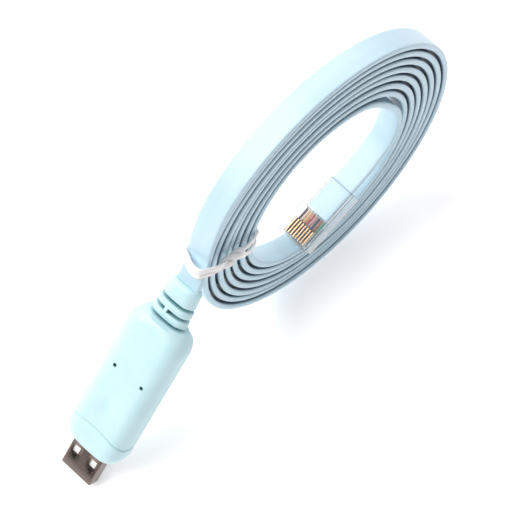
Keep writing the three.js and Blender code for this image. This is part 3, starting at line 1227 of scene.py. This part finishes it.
@dataclass
class UsbInside:
    """The white insulator and the contact strips that stay as their solids are."""

    contacts: int = 4

    def dress(self) -> None:
        """Gives the insulator and the strips their finishes."""
        nodes = frame["nodes"]
        wear(nodes["usb_insulator"], Finish.INSULATOR.value.material())
        gold = Finish.GOLD.value.material()
        for index in range(self.contacts):
            wear(nodes[f"usb_contact_{index + 1}"], gold)
        log.info("insulator and %d strips dressed", self.contacts)


# The modular plug.


@dataclass
class ModularPlug:
    """The clear 8P8C plug on the cord's inner end, with its blades and cores."""

    ways: int = 8
    edge: float = 0.14
    edge_angle: float = 20.0

    def build(self) -> list[bpy.types.Object]:
        """Makes the clear body with rounded edges from its solid, and dresses what is in it.

        Returns:
            All the plug's pieces.
        """
        nodes = frame["nodes"]
        body = self.rounded_copy(nodes["rj45_body"])
        ride(body, "clear_plastic", "rj45_body")
        gold = Finish.GOLD.value.material()
        pieces = [body]
        for index in range(self.ways):
            blade = nodes[f"rj45_contact_{index + 1}"]
            core = nodes[f"rj45_core_{index + 1}"]
            wear(blade, gold)
            colour = CORE_COLOURS[index]
            # PVC, extruded over each core: one strong even colour with a soft gloss.
            finish = MouldedPlastic(f"core_insulation_{index + 1}", colour, colour, grain_mm=0.2)
            wear(core, finish.material())
            pieces += [blade, core]
        log.info("modular plug with %d ways", self.ways)
        return pieces

    def rounded_copy(self, node: bpy.types.Object) -> bpy.types.Object:
        """A copy of the solid, merged, cleared of edges inside flat faces and bevelled.

        Args:
            node: The solid's object.

        Returns:
            The copy, with the edges' painted grey shade as its second material.
        """
        body = bpy.data.objects.new("rj45_clear_body", node.data.copy())
        bpy.context.collection.objects.link(body)
        work = bmesh.new()
        work.from_mesh(body.data)
        bmesh.ops.remove_doubles(work, verts=work.verts, dist=1e-6)
        bmesh.ops.dissolve_limit(
            work, angle_limit=math.radians(1), verts=work.verts, edges=work.edges
        )
        work.to_mesh(body.data)
        work.free()
        wear(body, Finish.CLEAR.value.material())
        body.data.materials.append(Finish.CLEAR_EDGE_SHADE.value.material())
        soft_edges(body, self.edge, segments=2, degrees=self.edge_angle, clamp=False)
        # The bevels wear the painted grey edge shade.
        body.modifiers["edges"].material = 1
        apply_modifiers(body)
        body.data.shade_smooth()
        body.data.set_sharp_from_angle(angle=math.radians(45))
        return body


# The tie.


@dataclass
class TwistTie:
    """The white tie: two strands round the bundle, closed by a twist on the seen side.

    Radii are from the winding's middle, in millimetres, and angles in degrees above +X.
    """

    stand: Stand
    # The radii of a loop's inner and outer corners, and how much farther out the near one is.
    inner: float = 29.2
    outer: float = 53.4
    bulge: float = 1.9
    # How far aside each corner lies, on the seen side and on the far side.
    near_outer: float = 6.7
    near_inner: float = 4.9
    far_outer: float = -2.4
    far: float = -4.75
    # How far from its corner a bend starts, and the share of that at the bend's middle.
    bend: float = 1.6
    ease: float = 0.28
    half_width: float = 0.95
    half_height: float = 0.45
    # Each strand's angle inside the coil, outside it, and outside it on the far side.
    strands: tuple[Triple, ...] = ((15.7, 19.8, 19.6), (6.5, 17.4, 17.0))
    # The twist's inner and outer radius, its angle, its height over the band, its width and turns.
    knot: tuple[float, float] = (38.6, 45.4)
    knot_angle: float = 16.0
    knot_lift: float = 0.7
    knot_size: float = 1.05
    knot_turns: float = 1.0
    # How far the strands' ends reach into the twist, and how far its inner and outer ends pass it.
    tuck: float = 1.0
    tails: tuple[float, float] = (1.0, 1.5)
    twist_oval: tuple[float, float] = (0.95, 0.75)

    def point(self, radius: float, degrees: float, y: float) -> Triple:
        """A point beside the bundle."""
        angle = math.radians(degrees)
        return radius * math.cos(angle), y, CENTRE_HEIGHT + radius * math.sin(angle)

    def loop(self, strand: Triple) -> Array:
        """Points of one strand's way round the bundle, three for each of its four bends.

        Args:
            strand: The strand's angles inside the coil, outside it, and outside on the far side.

        Returns:
            Points (n, 3).
        """
        inside, outside, back = strand
        small = self.bend * self.ease
        corners = [
            (self.outer + self.bulge, self.near_outer, outside, -1, -1),
            (self.outer, self.far_outer, back, -1, 1),
            (self.inner, self.far, inside, 1, 1),
            (self.inner, self.near_inner, inside, 1, -1),
        ]
        inner_end, outer_end = self.knot
        points = [self.beside_knot(outer_end - self.tuck)]
        for index, (radius, y, degrees, inwards, sideways) in enumerate(corners):
            bent = [
                self.point(radius + inwards * self.bend, degrees, y),
                self.point(radius + inwards * small, degrees, y + sideways * small),
                self.point(radius, degrees, y + sideways * self.bend),
            ]
            points += bent[::-1] if index % 2 else bent
        points.append(self.beside_knot(inner_end + self.tuck))
        return np.array(points)

    def beside_knot(self, radius: float) -> Triple:
        """A point of the knot's own line, which lies on the band between its near corners.

        Args:
            radius: The point's radius.

        Returns:
            The point.
        """
        share = (radius - self.inner) / (self.outer - self.inner)
        y = self.near_inner + share * (self.near_outer - self.near_inner) + self.knot_lift
        return self.point(radius, self.knot_angle, y)

    def strand(self, name: str, strand: Triple) -> bpy.types.Object:
        """One strand: a flat oval carried round its loop, with its broad side on the bundle.

        Args:
            name: The piece's name.
            strand: The strand's angles, as loop takes them.

        Returns:
            The strand.
        """
        path = smooth_path(self.loop(strand), spacing=0.6)
        angle = np.linspace(0, 2 * np.pi, 16, endpoint=False)
        oval = np.stack([self.half_width * np.cos(angle), self.half_height * np.sin(angle)], axis=1)
        middle = np.array([0.0, 0.0, CENTRE_HEIGHT])
        out = unit((path - middle) * [1, 0, 1])
        round_coil = np.cross(out, [0.0, 1.0, 0.0])
        return ring_mesh(name, self.stand.metres(sweep(path, round_coil, oval)), 60)

    def build(self) -> None:
        """Makes both strands and the twist, and dresses them."""
        material = Finish.TIE.value.material()
        first = self.strand("tie_strand_1", self.strands[0])
        second = self.strand("tie_strand_2", self.strands[1])
        pieces = [first, second, *self.twist()]
        for piece in pieces:
            ride(piece, "tie_plastic")
            wear(piece, material)
        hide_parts("cable_tie")
        log.info("tie in %d pieces", len(pieces))

    def twist(self) -> list[bpy.types.Object]:
        """The closing twist: two strands that wind about one line.

        Each is a helix, half a turn apart from the other, that narrows to the line at its ends.

        Returns:
            The two helical strands.
        """
        inner_end, outer_end = self.knot
        inner_tail, outer_tail = self.tails
        start = np.array(self.beside_knot(outer_end + outer_tail))
        end = np.array(self.beside_knot(inner_end - inner_tail))
        t = np.linspace(0, 1, 60)[:, None]
        axis = unit(end - start)
        first = unit(np.cross(axis, [0.0, 1.0, 0.0]))
        second = np.cross(axis, first)
        size = self.knot_size * np.sin(np.pi * t) ** 0.5
        angle = np.linspace(0, 2 * np.pi, 14, endpoint=False)
        oval = np.stack([np.cos(angle), np.sin(angle)], axis=1) * self.twist_oval
        made = []
        for index in range(2):
            phase = np.pi * index + 2 * np.pi * self.knot_turns * t
            line = start + t * (end - start) + size * (np.cos(phase) * first + np.sin(phase) * second)
            across = np.cos(phase) * second - np.sin(phase) * first
            rings = sweep(line, across, oval)
            made.append(ring_mesh(f"tie_twist_{index + 1}", self.stand.metres(rings), 60))
        return made


# The studio.


@dataclass
class Studio:
    """The camera, the floor and the lights.

    The camera's place is in the coil's frame, in millimetres, and its axes are unit vectors of
    the row's frame.
    """

    stand: Stand
    camera_place: Triple = (158.5, 149.9, 450.3)
    camera_right: Triple = (-0.7272, 0.6863, -0.0148)
    camera_down: Triple = (0.6238, 0.6517, -0.4315)
    # The focal length in the photograph's pixels, and the sensor's width in millimetres.
    focal_pixels: float = 1543.5
    sensor: float = 36.0
    # The floor's side in metres, and its own glow, which keeps the shadows on it pale.
    floor_size: float = 4.0
    floor_glow: float = 0.35
    # The surroundings' colour, and their strength to all but the lens.
    sky_colour: str = "#fff6f8"
    sky_strength: float = 0.42
    # The dark band's colour, and the heights where it ends and where the sky begins.
    band_colour: str = "#262a30"
    band: tuple[float, float] = (0.25, 0.5)
    # Each light's name, its place and side in metres, and its power in watts.
    lights: tuple[tuple[str, Triple, float, float], ...] = (
        ("key", (0.34, -0.42, 0.84), 0.8, 9.9),
        ("side", (-0.75, -0.25, 0.6), 0.9, 3.2),
        ("fill", (0.45, 0.9, 0.7), 0.9, 1.0),
    )

    def camera(self) -> None:
        """Places the camera, with the photograph's field of view over IMAGE_PIXELS."""
        data = bpy.data.cameras.new("view")
        data.sensor_width = self.sensor
        data.lens = self.focal_pixels / IMAGE_PIXELS * self.sensor
        data.clip_start = 0.01
        camera = bpy.data.objects.new("view", data)
        right = unit(np.array(self.camera_right))
        up = -np.array(self.camera_down)
        up = unit(up - np.dot(up, right) * right)
        turn = Matrix(np.stack([right, up, np.cross(right, up)], axis=1).tolist()).to_4x4()
        place = self.stand.metres(np.array(self.camera_place))
        camera.matrix_world = Matrix.Translation(Vector(place)) @ turn
        bpy.context.collection.objects.link(camera)
        bpy.context.scene.camera = camera

    def floor(self) -> None:
        """Lays the plain pale floor."""
        half = self.floor_size / 2
        corners = np.array([[-half, -half, 0], [half, -half, 0], [half, half, 0], [-half, half, 0]])
        floor = put_mesh("floor", corners, [(0, 1, 2, 3)], 30)
        paint = Paint("pale_floor")
        paint.set(Base_Color=linear("#fbfbfb"), Roughness=0.9, Specular_IOR_Level=0.1)
        paint.set(Emission_Color=linear("#fffdfd"), Emission_Strength=self.floor_glow)
        wear(floor, paint.material)

    def light(self) -> None:
        """Hangs the area lights, and sets the surroundings and the plain view transform."""
        for name, place, size, power in self.lights:
            data = bpy.data.lights.new(name, "AREA")
            data.size = size
            data.energy = power
            lamp = bpy.data.objects.new(name, data)
            lamp.location = Vector(place)
            lamp.rotation_euler = Vector(place).to_track_quat("Z", "Y").to_euler()
            bpy.context.collection.objects.link(lamp)
        self.surroundings()
        bpy.context.scene.view_settings.view_transform = "Standard"

    def surroundings(self) -> None:
        """Sets the world: pale to the lens, and a dark band under a bright sky to the metal.

        The band's height is the direction's Z, so what polished metal mirrors near the horizon is
        dark, as the walls of a studio tent's open side are.
        """
        world = bpy.data.worlds.new("surroundings")
        bpy.context.scene.world = world
        world.use_nodes = True
        tree = world.node_tree
        ground = tree.nodes["Background"]
        way = add_node(tree, "ShaderNodeTexCoord", {}, {}).outputs["Generated"]
        height = add_node(tree, "ShaderNodeSeparateXYZ", {}, {"Vector": way}).outputs["Z"]
        mirrored = add_node(tree, "ShaderNodeValToRGB", {}, {"Fac": height})
        low, high = mirrored.color_ramp.elements
        low.position, low.color = self.band[0], linear(self.band_colour)
        high.position, high.color = self.band[1], linear(self.sky_colour)
        seen = add_node(tree, "ShaderNodeLightPath", {}, {}).outputs["Is Camera Ray"]
        colour = add_node(
            tree,
            "ShaderNodeMixRGB",
            {"Color2": linear(self.sky_colour)},
            {"Fac": seen, "Color1": mirrored.outputs["Color"]},
        )
        strength = add_node(
            tree, "ShaderNodeMapRange", {"To Min": self.sky_strength, "To Max": 1.0}, {"Value": seen}
        )
        tree.links.new(colour.outputs["Color"], ground.inputs["Color"])
        tree.links.new(strength.outputs["Result"], ground.inputs["Strength"])

    def build(self) -> None:
        """Lays the floor and hangs the lights."""
        self.floor()
        self.light()
        log.info("studio ready")


def main() -> None:
    """Builds the camera, the modular plug, the cord and then the rest."""
    logging.basicConfig(level=logging.INFO, format="%(name)s: %(message)s")
    stand = Stand.from_coil()
    studio = Studio(stand)
    studio.camera()
    plug_pieces = ModularPlug().build()
    FlatCord(stand).build(plug_pieces)
    UsbMoulding(stand).build()
    UsbShell(stand).build()
    UsbInside().dress()
    TwistTie(stand).build()
    studio.build()


if __name__ == "__main__":
    main()
